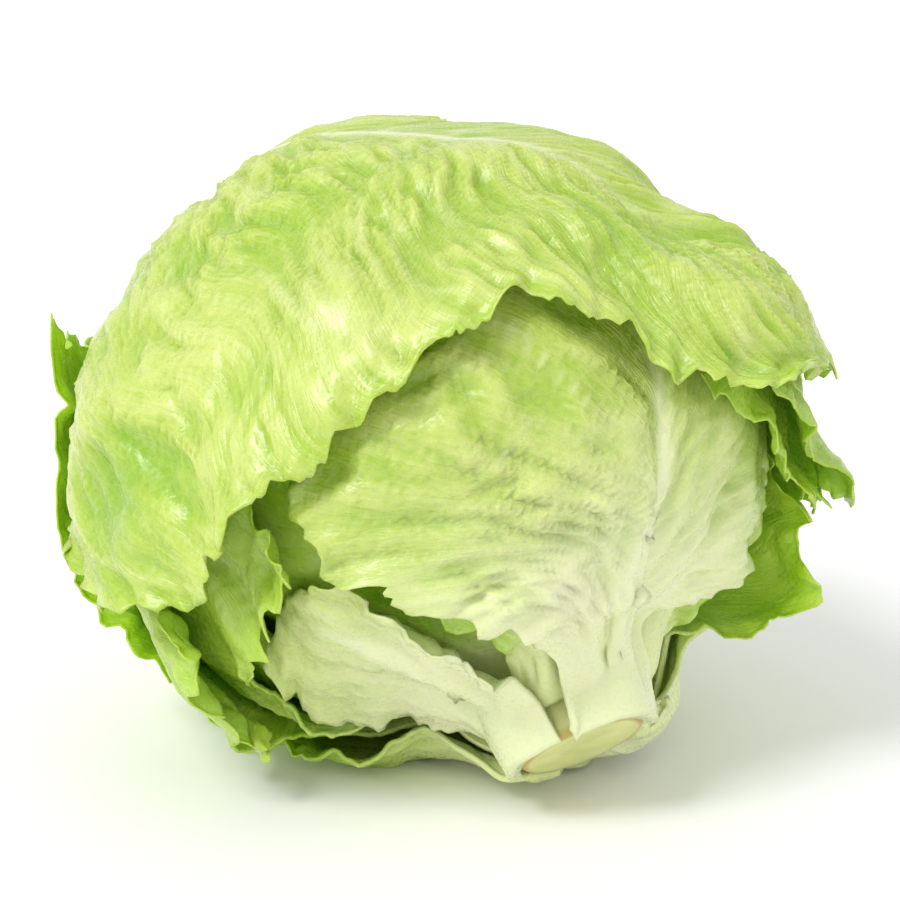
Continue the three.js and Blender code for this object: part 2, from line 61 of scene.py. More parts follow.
# The view: the head seen from a little above, at the height of a person sitting at the table. It stands
# about 62 cm away, with the cut stem turned to the lower right. The lowest ring of the solid stem, by its
# depth under the cut and its radius in mm, finds the head's centre.
MM = 0.001
STEM_AZIMUTH = math.radians(-58)
STEM_DIP = math.radians(48)
CUT = 78.0
STEM_SIDES = 28
RING_DEPTH, RING_RADIUS = 0.2, 13.6
VIEW_TILT = math.radians(16)
EYE = Vector((-1.6, -616.0, 173.56)) * MM
LENS = 112.4
CLIP_START = 0.01

AXIS = np.array([
    math.cos(STEM_DIP) * math.cos(STEM_AZIMUTH),
    math.cos(STEM_DIP) * math.sin(STEM_AZIMUTH),
    -math.sin(STEM_DIP),
])
FRONT = np.array([0.0, -math.cos(VIEW_TILT), math.sin(VIEW_TILT)])
FRONT -= FRONT.dot(AXIS) * AXIS
FRONT /= np.linalg.norm(FRONT)
SIDE = np.cross(FRONT, AXIS)


def towards(polar, azimuth):
    """The ways out from the head's centre at angles from the stem and round it, in degrees."""
    polar, azimuth = np.radians(polar)[..., None], np.radians(azimuth)[..., None]
    ring = np.cos(azimuth) * FRONT + np.sin(azimuth) * SIDE
    return np.cos(polar) * AXIS + np.sin(polar) * ring


def added(name, data):
    """A new object in the scene."""
    thing = bpy.data.objects.new(name, data)
    bpy.context.scene.collection.objects.link(thing)
    return thing


stem_turn = np.arange(STEM_SIDES) * 360 / STEM_SIDES
stem_rim = towards(np.full(STEM_SIDES, 90.0), stem_turn) * RING_RADIUS + AXIS * (CUT - RING_DEPTH)
CENTRE = np.array([0.0, 0.0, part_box("stem")[0].z / MM - stem_rim[:, 2].min()])

camera = added("camera", bpy.data.cameras.new("camera"))
camera.data.lens = LENS
camera.data.clip_start = CLIP_START
look = Vector((0, math.cos(VIEW_TILT), -math.sin(VIEW_TILT)))
up = Vector((0, math.sin(VIEW_TILT), math.cos(VIEW_TILT)))
turn = Matrix(((1, 0, 0), up, -look)).transposed()
camera.matrix_world = Matrix.Translation(EYE + Vector(CENTRE * MM)) @ turn.to_4x4()
bpy.context.scene.camera = camera


# The table and the light: a plain white surface that runs on behind the head without an edge, under an even
# white sky, with one large soft light high on the left and in front that leaves the lower right in shade.
FLOOR_HALF = 20.0
FLOOR_WHITE = (0.93, 0.93, 0.93, 1)
KEY_PLACE = Vector((-0.62, -0.62, 1.0))
KEY_POWER = 1.7
KEY_SPREAD = math.radians(20)
SKY_WHITE = (1, 1, 1, 1)
SKY_POWER = 0.88


def painted(name):
    """A new material and its shader."""
    material = bpy.data.materials.new(name)
    material.use_nodes = True
    return material, material.node_tree.nodes["Principled BSDF"]


def add_floor():
    plan = bmesh.new()
    bmesh.ops.create_grid(plan, x_segments=1, y_segments=1, size=FLOOR_HALF)
    mesh = bpy.data.meshes.new("floor")
    plan.to_mesh(mesh)
    plan.free()
    material, shader = painted("floor_white")
    shader.inputs["Base Color"].default_value = FLOOR_WHITE
    shader.inputs["Roughness"].default_value = 0.85
    shader.inputs["Specular IOR Level"].default_value = 0.1
    mesh.materials.append(material)
    added("floor", mesh)


def add_key():
    data = bpy.data.lights.new("key", "SUN")
    data.energy = KEY_POWER
    data.angle = KEY_SPREAD
    aim = (-KEY_PLACE).to_track_quat("-Z", "Y").to_matrix().to_4x4()
    added("key", data).matrix_world = Matrix.Translation(KEY_PLACE) @ aim


def add_sky():
    sky = bpy.data.worlds.new("studio")
    sky.use_nodes = True
    sky.node_tree.nodes["Background"].inputs["Color"].default_value = SKY_WHITE
    sky.node_tree.nodes["Background"].inputs["Strength"].default_value = SKY_POWER
    bpy.context.scene.world = sky


add_floor()
add_key()
add_sky()
bpy.context.scene.view_settings.view_transform = "Standard"


# The stem: the short core that the leaves grew on, cut straight across with a knife. It is firm wet cream
# flesh, a little hollow in the middle of the cut, with fine rings and a rim that has browned in the air.
STEM_OUTLINE = [(0.9, 0.0), (0.6, 5.0), (0.25, 9.0), (0.1, 12.4), (0.35, 13.7), (1.1, 14.4), (2.6, 14.6),
                (12, 14.5), (24, 14.2), (40, 11), (52, 5), (55, 0)]
STEM_STEPS = 120
SAME_SPOT = 1e-6
LONG_EDGE = 0.004
LONG_EDGE_CUTS = 3
FLESH = ((0.60, 0.66, 0.22, 1), (0.80, 0.79, 0.36, 1))
BROWN = ((0.62, 0.40, 0.10, 1), (0.36, 0.17, 0.04, 1))

# The knife's waves over the cut and the browned rim, in mm.
WAVED_DEPTH = 1.5
RING_WAVE = 0.10
LOBE_WAVE = 0.12
WAVED_RADIUS = 12.6
RIM_WAVE_SHARE = 0.3
RIM_DEPTH = 1.6
RIM_RADIUS, RIM_HALF = 13.9, 1.5
RIM_LEAST, RIM_PATCH = 0.45, 0.9


def colour_ramp(material, factor, first, second, start=0.0, end=1.0):
    """A colour that goes from one to another as a factor goes from start to end."""
    ramp = material.node_tree.nodes.new("ShaderNodeValToRGB")
    for element, place, colour in zip(ramp.color_ramp.elements, (start, end), (first, second)):
        element.position = place
        element.color = colour
    material.node_tree.links.new(factor, ramp.inputs["Fac"])
    return ramp.outputs["Color"]


def add_bump(material, height, strength, distance):
    """Fine relief on a material, of a strength that is a number or a pattern."""
    nodes, links = material.node_tree.nodes, material.node_tree.links
    bump = nodes.new("ShaderNodeBump")
    bump.inputs["Distance"].default_value = distance
    if isinstance(strength, float):
        bump.inputs["Strength"].default_value = strength
    else:
        links.new(strength, bump.inputs["Strength"])
    links.new(height, bump.inputs["Height"])
    links.new(bump.outputs["Normal"], nodes["Principled BSDF"].inputs["Normal"])


def stem_material():
    material, shader = painted("stem_flesh")
    nodes, links = material.node_tree.nodes, material.node_tree.links
    shader.inputs["Roughness"].default_value = 0.38
    shader.inputs["Specular IOR Level"].default_value = 0.5
    shader.inputs["Subsurface Weight"].default_value = 0.25
    shader.inputs["Subsurface Radius"].default_value = (0.8, 0.9, 0.3)
    shader.inputs["Subsurface Scale"].default_value = 0.003
    edge = nodes.new("ShaderNodeAttribute")
    edge.attribute_name = "browning"
    cloud = nodes.new("ShaderNodeTexNoise")
    cloud.inputs["Scale"].default_value = 160.0
    cloud.inputs["Detail"].default_value = 5.0
    links.new(nodes.new("ShaderNodeTexCoord").outputs["Object"], cloud.inputs["Vector"])
    mix = nodes.new("ShaderNodeMix")
    mix.data_type = "RGBA"
    links.new(edge.outputs["Fac"], mix.inputs["Factor"])
    links.new(colour_ramp(material, cloud.outputs["Fac"], *FLESH, 0.3, 0.7), mix.inputs[6])
    links.new(colour_ramp(material, cloud.outputs["Fac"], *BROWN), mix.inputs[7])
    links.new(mix.outputs[2], shader.inputs["Base Color"])
    add_bump(material, cloud.outputs["Fac"], 0.25, 0.0005)
    return material


def build_stem():
    solid = bmesh.new()
    outline = []
    for depth, radius in STEM_OUTLINE:
        spot = CENTRE + AXIS * (CUT - depth) + FRONT * radius
        outline.append(solid.verts.new(Vector(spot * MM)))
    edges = [solid.edges.new(pair) for pair in zip(outline, outline[1:])]
    bmesh.ops.spin(solid, geom=outline + edges, cent=Vector(CENTRE * MM), axis=Vector(AXIS),
                   angle=2 * math.pi, steps=STEM_STEPS, use_merge=True)
    bmesh.ops.remove_doubles(solid, verts=solid.verts, dist=SAME_SPOT)
    long_edges = [edge for edge in solid.edges if edge.calc_length() > LONG_EDGE]
    bmesh.ops.subdivide_edges(solid, edges=long_edges, cuts=LONG_EDGE_CUTS)
    bmesh.ops.recalc_face_normals(solid, faces=solid.faces)
    browning = []
    for vert in solid.verts:
        away = np.array(vert.co) / MM - CENTRE
        depth = CUT - away.dot(AXIS)
        across = away - away.dot(AXIS) * AXIS
        radius = np.linalg.norm(across)
        bearing = math.atan2(across.dot(SIDE), across.dot(FRONT))
        if depth < WAVED_DEPTH:
            swell = RING_WAVE * math.sin(radius * 1.7) + LOBE_WAVE * math.sin(3 * bearing + radius * 0.5)
            share = min(1.0, radius / 4) * (1 if radius < WAVED_RADIUS else RIM_WAVE_SHARE)
            vert.co -= Vector(AXIS * MM * swell * share)
        rim = max(0.0, 1 - abs(radius - RIM_RADIUS) / RIM_HALF) if depth < RIM_DEPTH else 0.0
        patch = 0.5 + 0.5 * math.cos(bearing - 0.3) * (0.6 + 0.4 * math.sin(5 * bearing))
        browning.append(min(1.0, rim * (RIM_LEAST + RIM_PATCH * patch)))
    mesh = bpy.data.meshes.new("stem_core")
    solid.to_mesh(mesh)
    solid.free()
    mesh.attributes.new("browning", "FLOAT", "POINT").data.foreach_set("value", browning)
    mesh.shade_smooth()
    mesh.materials.append(stem_material())
    piece = added("stem_core", mesh)
    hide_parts("stem")
    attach(piece, "root")


build_stem()


# The leaves: soft living blades, thick and white at the rib, thin and green at the frilled margin. Each grew
# from the stem and was laid over the ones inside it, so each takes its place from the net of angles that the
# solid leaf was laid by, and its heights from that solid.
STEM_RADIUS = 14.6
STEM_GAP = 0.4
BLADE = 1.3
MARGIN_THIN = 0.45
MARGIN_GAIN = 0.45
MARGIN_WIDTH = 9.0

# The notches that the solid leaves' margins are cut with, in degrees, and how they fade inwards.
NOTCH = 3.4
EDGE_POWER = 6
ROW_POWER = 1.15
FREE_FROM, FREE_TO = 0.12, 0.35
SAME_WAY = 3e-4
NEAREST = 12
USUAL_REACH = 75

# What a leaf may have of its own. The teeth are their depth, their spacing and the share of the solid's notches,
# the folds their length and their width, all in mm.
USUAL = {
    "row_step": 1.2, "step": 1.5, "lobes": (1, 1, 1), "teeth": (3.3, 6.4, 0.5), "fan": 0.62, "crinkle": 1.5,
    "folds": (30.0, 12.0), "swell": 1.0, "right_side": 1.0, "frill": 1.0, "least_lift": 0.12, "white": 0.30,
}

SOLID_MESHES = {
    name: ([v.co.copy() for v in node.data.vertices], [tuple(p.vertices) for p in node.data.polygons])
    for name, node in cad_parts.items()
}


def random_from(seed):
    """The same repeatable numbers from 0 to 1 that cut the notches of the solid leaves."""
    mask = 0xFFFFFFFF
    state = seed * 2654435761

    def draw():
        nonlocal state
        state = (state + 0x6D2B79F5) & mask
        t = ((state ^ (state >> 15)) * (1 | state)) & mask
        t = ((t + ((t ^ (t >> 7)) * (61 | t))) & mask) ^ t
        return ((t ^ (t >> 14)) & mask) / 4294967296

    return draw


def along_curve(points, share):
    """Points at shares 0 to 1 of a smooth curve through an array of points, evenly spaced by count."""
    count = len(points)
    first = 2 * points[0] - points[1]
    last = 2 * points[-1] - points[-2]
    padded = np.vstack([first, points, last])
    place = np.clip(share, -0.2, 1) * (count - 1)
    start = np.clip(np.floor(place).astype(int), 0, count - 2)
    t = (place - start)[..., None]
    a, b, c, d = (padded[start + n] for n in range(4))
    return b + 0.5 * t * (c - a + t * (2 * a - 5 * b + 4 * c - d + t * (3 * (b - c) + d - a)))


def net_curves(rows):
    """The left, middle and right lines of a leaf, from rows of their angles from the stem and round it."""
    angles = np.array(rows, float)
    return [towards(angles[:, side, 0], angles[:, side, 1]) for side in range(3)]


def leaf_way(curves, u, v):
    """The way out to a leaf at u from its base to its tip and v from its left side at -1 to its right at 1."""
    left, middle, right = (along_curve(curve, u) for curve in curves)
    v = v[..., None]
    way = middle * (1 - v * v) + left * (v * v - v) / 2 + right * (v * v + v) / 2
    return way / np.linalg.norm(way, axis=-1, keepdims=True)


def angle_between(a, b):
    return np.arccos(np.clip((a * b).sum(-1), -1, 1))


def smoothstep(x, low, high):
    t = np.clip((x - low) / (high - low), 0, 1)
    return t * t * (3 - 2 * t)


def notches(count, depth, draw):
    """How deep a margin of the solid is cut at each of its points, in radians: nothing at every second one."""
    return np.array([0.0 if n % 2 else depth * math.radians(NOTCH) * (0.5 + draw()) for n in range(count + 1)])


def notched_ways(leaf, order):
    """The ways out to a solid leaf's points, with and without the notches of its margins. Also how deep those
    are at its left margin, its tip and its right margin, in radians."""
    along, across = leaf["cells"]
    draw = random_from(order + 11)
    curves = net_curves(leaf["rows"])
    left, end, right = leaf["lobes"]
    tip = notches(across, end, draw)
    sides = [notches(along, left, draw), notches(along, right, draw)]

    def way(u, v):
        return leaf_way(curves, np.array(u, float), np.array(v, float))

    length = angle_between(way(0.8, 0), way(1, 0)) / 0.2
    lobe_width = angle_between(way(1, -0.5), way(1, 0.5)) / across
    tip_depth = min(1, 2 * lobe_width / math.radians(NOTCH))
    plain_u = np.repeat(((np.arange(along + 1) / along) ** ROW_POWER)[:, None], across + 1, 1)
    plain_v = np.repeat((2 * np.arange(across + 1) / across - 1)[None], along + 1, 0)
    side = np.where(plain_v < 0, -1.0, 1.0)
    width = angle_between(leaf_way(curves, plain_u, 0 * plain_v), leaf_way(curves, plain_u, side))
    cut = np.where(side < 0, sides[0][:, None], sides[1][:, None])
    free = smoothstep(plain_u, FREE_FROM, FREE_TO)
    u = plain_u - tip_depth * tip[None] / length * plain_u ** (2 * EDGE_POWER)
    v = plain_v * (1 - free * cut / width * np.abs(plain_v) ** EDGE_POWER)
    depths = (cut[:, 0] * free[:, 0], tip * tip_depth, cut[:, -1] * free[:, -1])
    return leaf_way(curves, u, v), leaf_way(curves, plain_u, plain_v), depths


def solid_lattice(leaf, order):
    """The inner face of a solid leaf as if its margins had no notches: a net of points row by row from its
    base to its tip. Also how deep the notches of its left margin, its tip and its right margin are, in mm."""
    ways, plain_ways, depths = notched_ways(leaf, order)
    points, faces = SOLID_MESHES[leaf["name"]]
    spots = np.array(points) / MM - CENTRE
    reach = np.linalg.norm(spots, axis=1)
    tree = KDTree(len(spots))
    for n, spot in enumerate(spots / reach[:, None]):
        tree.insert(spot, n)
    tree.balance()
    solid = BVHTree.FromPolygons(points, faces)
    base = ways[0] - ways[0].dot(AXIS)[:, None] * AXIS
    base *= (STEM_RADIUS + STEM_GAP) / np.linalg.norm(base, axis=1)[:, None]
    lattice = np.zeros(ways.shape)
    lattice[0] = base + AXIS * (CUT - leaf["seat"])
    for i, j in np.ndindex(ways.shape[:2]):
        if i == 0:
            continue
        way_out = ways[i, j]
        near = [n for _, n, off in tree.find_n(way_out, NEAREST) if off < SAME_WAY]
        if near:
            lattice[i, j] = plain_ways[i, j] * min(reach[n] for n in near)
            continue
        spot = solid.ray_cast(Vector(CENTRE * MM), Vector(way_out))[0]
        if spot is None:
            spot = solid.find_nearest(Vector((CENTRE + way_out * USUAL_REACH) * MM))[0]
        lattice[i, j] = plain_ways[i, j] * np.linalg.norm(np.array(spot) / MM - CENTRE)
    far = np.linalg.norm(lattice, axis=-1)
    return lattice, (depths[0] * far[:, 0], depths[1] * far[-1], depths[2] * far[:, -1])


def cubic(grid, s, t):
    """Smooth values of a grid of points at places s down it and t across it."""
    rows, columns = grid.shape[:2]
    padded = np.concatenate([2 * grid[:1] - grid[1:2], grid, 2 * grid[-1:] - grid[-2:-1]], 0)
    before, after = 2 * padded[:, :1] - padded[:, 1:2], 2 * padded[:, -1:] - padded[:, -2:-1]
    padded = np.concatenate([before, padded, after], 1)
    s, t = np.clip(s, 0, rows - 1), np.clip(t, 0, columns - 1)
    i = np.clip(np.floor(s).astype(int), 0, rows - 2)
    j = np.clip(np.floor(t).astype(int), 0, columns - 2)

    def weights(x):
        square, cube = x**2, x**3
        return [(-x + 2 * square - cube) / 2, (2 - 5 * square + 3 * cube) / 2,
                (x + 4 * square - 3 * cube) / 2, (cube - square) / 2]

    down, over = weights(s - i), weights(t - j)
    total = 0
    for a in range(4):
        for b in range(4):
            part = padded[i + a, j + b]
            weight = down[a] * over[b]
            total = total + part * (weight[..., None] if part.ndim > weight.ndim else weight)
    return total


def noise(x, y, seed):
    """Smooth random relief from about -1 to 1 over a plane, one lump to a unit."""
    turn = np.random.RandomState(seed).rand(256, 256) * 2 * np.pi
    i, j = np.floor(x).astype(int), np.floor(y).astype(int)
    fx, fy = x - i, y - j
    sx, sy = fx**3 * (fx * (fx * 6 - 15) + 10), fy**3 * (fy * (fy * 6 - 15) + 10)
    corner = {}
    for a in (0, 1):
        for b in (0, 1):
            angle = turn[(i + a) % 256, (j + b) % 256]
            corner[a, b] = np.cos(angle) * (fx - a) + np.sin(angle) * (fy - b)
    low = corner[0, 0] * (1 - sx) + corner[1, 0] * sx
    high = corner[0, 1] * (1 - sx) + corner[1, 1] * sx
    return 1.5 * (low * (1 - sy) + high * sy)


def teeth(place, seed, spacing, depth):
    """How far a margin is cut in, in mm, along its length: teeth that lean towards the tip, with round bays."""
    draw = np.random.RandomState(seed)
    points, cuts = [0.0], [0.0]
    while points[-1] < place.max() + 20:
        width = spacing * (0.35 + 1.3 * draw.rand())
        deep = depth * (0.25 + 0.9 * draw.rand() * min(1, width / spacing))
        points += [points[-1] + width * share for share in (0.30, 0.62, 0.86, 1.0)]
        cuts += [deep, deep * 0.85, deep * 0.42, 0.25 * deep * draw.rand()]
    return np.interp(place, points, cuts)


def eased(values, place):
    """Values at a whole number of places each, read between them along soft steps."""
    low = np.clip(np.floor(place).astype(int), 0, len(values) - 2)
    share = np.clip(place - low, 0, 1)
    return values[low] + (values[low + 1] - values[low]) * share * share * (3 - 2 * share)


def lengths(points, axis):
    """How far each point of a grid is from its first side, along the grid."""
    step = np.linalg.norm(np.diff(points, axis=axis), axis=-1)
    shape = list(step.shape)
    shape[axis] = 1
    return np.concatenate([np.zeros(shape), np.cumsum(step, axis=axis)], axis=axis)


def grid_normals(points):
    """The ways that the face of a grid looks, all on the side away from the head's centre."""
    down = np.gradient(points, axis=0)
    over = np.gradient(points, axis=1)
    normal = np.cross(down, over)
    normal /= np.maximum(np.linalg.norm(normal, axis=-1, keepdims=True), 1e-9)
    return normal * np.sign(np.median((normal * points).sum(-1)))


def clearances(name, points, normals, reach):
    """How far each point could move in and out before it meets another solid, in mm."""
    others_points, others_faces = [], []
    for other, (verts, faces) in SOLID_MESHES.items():
        if other != name:
            base = len(others_points)
            others_points += verts
            others_faces += [tuple(base + n for n in face) for face in faces]
    tree = BVHTree.FromPolygons(others_points, others_faces)
    inward, outward = np.full(points.shape[:2], reach), np.full(points.shape[:2], reach)
    for i, j in np.ndindex(points.shape[:2]):
        spot, way = Vector((CENTRE + points[i, j]) * MM), Vector(normals[i, j])
        for room, sign in ((inward, -1), (outward, 1)):
            hit = tree.ray_cast(spot, way * sign, reach * MM)[3]
            if hit is not None:
                room[i, j] = hit / MM
    return inward, outward


def blurred(values, passes=5):
    """A grid of numbers without sudden steps: each becomes the mean of itself and its neighbours, in passes."""
    for _ in range(passes):
        wide = np.pad(values, 1, mode="edge")
        values = (wide[:-2, 1:-1] + wide[2:, 1:-1] + wide[1:-1, :-2] + wide[1:-1, 2:] + 2 * values) / 6
    return values


# How a margin's cuts fade inwards, in mm, and the most of a leaf's width that they take.
CUT_FADE = 14.0
MOST_CUT = 0.22
LOOSE_FROM, LOOSE_TO = 0.18, 0.34
CROWDING = 0.25


def cut_margins(leaf, seed, places, sides, free, notch_depths):
    """The places on the lattice once bays and teeth are cut in from the three free sides. Also each of those
    margins: the way run along it, how far inside it each point is, and its number."""
    s, t = places
    from_left, from_right, from_base, from_tip = sides
    left_notch, tip_notch, right_notch = notch_depths
    left_run = from_base[:, :1]
    tip_run = left_run[-1, 0] + from_left[-1:, :]
    right_run = tip_run[0, -1] + from_tip[:, -1:]
    depth, spacing, bay = leaf["teeth"]

    def cut_in(run, inside, notch, across, number):
        cut = teeth(run, seed + number, spacing, depth) + bay * notch
        return np.minimum(cut, MOST_CUT * across) * np.clip(1 - inside / CUT_FADE, 0, 1) ** 2 * free

    width, height = from_left + from_right, from_base + from_tip
    in_left = cut_in(left_run, from_left, eased(left_notch, s[:, :1]), width, 1)
    in_tip = cut_in(tip_run, from_tip, eased(tip_notch, t[:1]), height, 2)
    in_right = cut_in(right_run, from_right, eased(right_notch, s[:, -1:]), width, 3)
    per_t = np.maximum(np.gradient(from_left, axis=1) / np.gradient(t, axis=1), 1.0)
    per_s = np.maximum(np.gradient(from_base, axis=0) / np.gradient(s, axis=0), 1.0)
    margins = [(left_run, from_left - in_left, 1), (tip_run, from_tip - in_tip, 2),
               (right_run, from_right - in_right, 3)]
    return s - in_tip / per_s, t + (in_left - in_right) / per_t, margins


# The side veins: their spacing and width in mm, and how far they wander from even spacing.
MAIN_SPACING, MAIN_WIDTH = 17.0, 0.8
FINE_SPACING, FINE_WIDTH = 7.3, 0.6
VEIN_WANDER = 1.3
VEIN_BEND, BEND_SIZE = 0.035, 45
VEIN_SWEEP = 0.86


def vein_rank(leaf, seed, blade, u, side, from_base, from_left, long_way):
    """Which side vein each point is at, as a way in mm along the midrib, and how steeply that changes over the
    blade: veins leave the midrib at a low angle and run out to the margins."""
    bend = VEIN_BEND * noise(from_base / BEND_SIZE, from_left / BEND_SIZE, seed + 5)
    rank = (u + bend - leaf["fan"] * side**VEIN_SWEEP) * long_way
    slope_s, slope_t = np.gradient(rank, axis=0), np.gradient(rank, axis=1)
    p_s, p_t = np.gradient(blade, axis=0), np.gradient(blade, axis=1)
    e, f, g = (p_s * p_s).sum(-1), (p_s * p_t).sum(-1), (p_t * p_t).sum(-1)
    area = np.maximum(e * g - f * f, 1e-6)
    squared = (g * slope_s**2 - 2 * f * slope_s * slope_t + e * slope_t**2) / area
    return rank, np.sqrt(np.maximum(squared, 0.04))


def vein_lines(rank, steep, v, seed, spacing, width):
    """How much of a vein each point is, from 0 to 1, with some veins stronger than others."""
    place = np.abs(v) * 2.6
    phase = rank / spacing + VEIN_WANDER * noise(rank / (2.2 * spacing), place + 5 * (v > 0), seed)
    off = np.abs(phase - np.round(phase)) * spacing / steep
    strength = 0.5 + 0.8 * noise(np.round(phase) * 1.37 + 9, place, seed + 1)
    return np.clip(strength, 0.05, 1) * np.exp(-((off / width) ** 2))


# The folds that the blade puckers in between its veins: heights, lengths and widths in mm. They are drawn out
# along the veins, with smaller ones between, and more in some parts than in others.
FOLD_HEIGHT = 1.6
SECOND_FOLD = (0.6, 6.5, 17)
THIRD_FOLD = (0.42, 3.4, 12)
CREASE = (0.20, 2.9)
PATCH_SIZE = 31
DRIFTS = ((9, 34, 29), (3, 12, 30))
SWELLS = ((1.1, 27, 35), (0.5, 13, 37))


def spread_noise(layers, from_base, from_left, seed):
    """Relief over the blade in lumps that are as long as wide: rows of their height, size and draw."""
    return sum(height * noise(from_base / size, from_left / size, seed + draw) for height, size, draw in layers)


def puckers(leaf, seed, rank, flow, from_base, from_left):
    """The height of the blade's folds, in mm."""
    drift = spread_noise(DRIFTS, from_base, from_left, seed)
    rough = noise(from_base / PATCH_SIZE, from_left / PATCH_SIZE, seed + 28)
    patch = 0.6 + 1.1 * np.clip(rough + 0.35, 0, 1)
    length, width = leaf["folds"]
    crest = 0.35 - np.abs(noise((rank + drift) / width, flow / length, seed + 34))
    height, width, length = SECOND_FOLD
    crest += 0.20 - height * np.abs(noise((rank - drift) / width, flow / length, seed + 31))
    height, width, length = THIRD_FOLD
    pucker = patch * FOLD_HEIGHT * crest + height * noise((rank + 0.5 * drift) / width, flow / length, seed + 32)
    height, width = CREASE
    return pucker + height * noise(from_base / width, from_left / width, seed + 33)


# The waves of a frilled margin: their height, how far in they reach, how far they lean out, their length along
# the margin and how deep in they stay the same, in mm but for the lean.
FRILL_WAVES = ((4.6, 12, 0.3, 9.5, 50), (3.0, 7, 0.2, 4.8, 30), (1.0, 2.6, 0.0, 2.6, 12))
CURL, CURL_WIDTH = 0.8, 3.0
FRILL_NEEDS = 26


def frills(leaf, seed, margins, edge):
    """How far the free margins stand up in waves, each in its own, in mm."""
    frill = np.zeros(edge.shape)
    for run, inside, number in margins:
        near = np.maximum(inside, 0)
        for wave, (height, reach, lean, length, depth) in enumerate(FRILL_WAVES):
            lift = lean + noise(run / length, near / depth, seed + 41 + wave + 7 * number)
            frill += height * np.exp(-near / reach) * lift
    return (frill + CURL * np.exp(-edge / CURL_WIDTH)) * leaf["frill"]


# The room that a blade keeps to: the share that it takes of the gap to its neighbours, the gap that it leaves
# to them, and how softly it stops at the outside of the solid head, all but the share in mm.
ROOM_REACH = 14.0
OPEN_ROOM = 6.0
ROOM_SHARE = 0.45
ROOM_LEAST = 0.3
GAP_OUT, GAP_IN = 0.25, 0.1
LIMIT_EASE = 4.0
LIMIT_GAP = 0.3


def kept_in_room(move, inward, outward, full):
    """The blade's relief, eased to less than the room that its neighbours leave it."""
    free_out = ROOM_SHARE * np.maximum(outward - full - GAP_OUT, 0.0)
    room_out = np.where(outward >= ROOM_REACH, OPEN_ROOM, free_out)
    room_in = ROOM_SHARE * np.maximum(inward - GAP_IN, 0)
    room_out, room_in = (np.minimum(room + ROOM_LEAST, blurred(room)) for room in (room_out, room_in))
    return np.where(move > 0, room_out * np.tanh(move / np.maximum(room_out, 0.02)),
                    room_in * np.tanh(move / np.maximum(room_in, 0.02)))


def kept_in_box(outer):
    """Points eased in to the box of the solid head, and none below the table."""
    most_ease = LIMIT_EASE - LIMIT_GAP
    for axis in range(3):
        low, high = (corner[axis] / MM - CENTRE[axis] for corner in cad_box)
        most = high - LIMIT_EASE
        over = np.maximum(outer[..., axis] - most, 0)
        eased_high = most + most_ease * np.tanh(over / LIMIT_EASE)
        outer[..., axis] = np.minimum(outer[..., axis], eased_high)
        if axis < 2:
            least = low + LIMIT_EASE
            under = np.maximum(least - outer[..., axis], 0)
            eased_low = least - most_ease * np.tanh(under / LIMIT_EASE)
            outer[..., axis] = np.maximum(outer[..., axis], eased_low)
    outer[..., 2] = np.maximum(outer[..., 2], -CENTRE[2])
    return outer


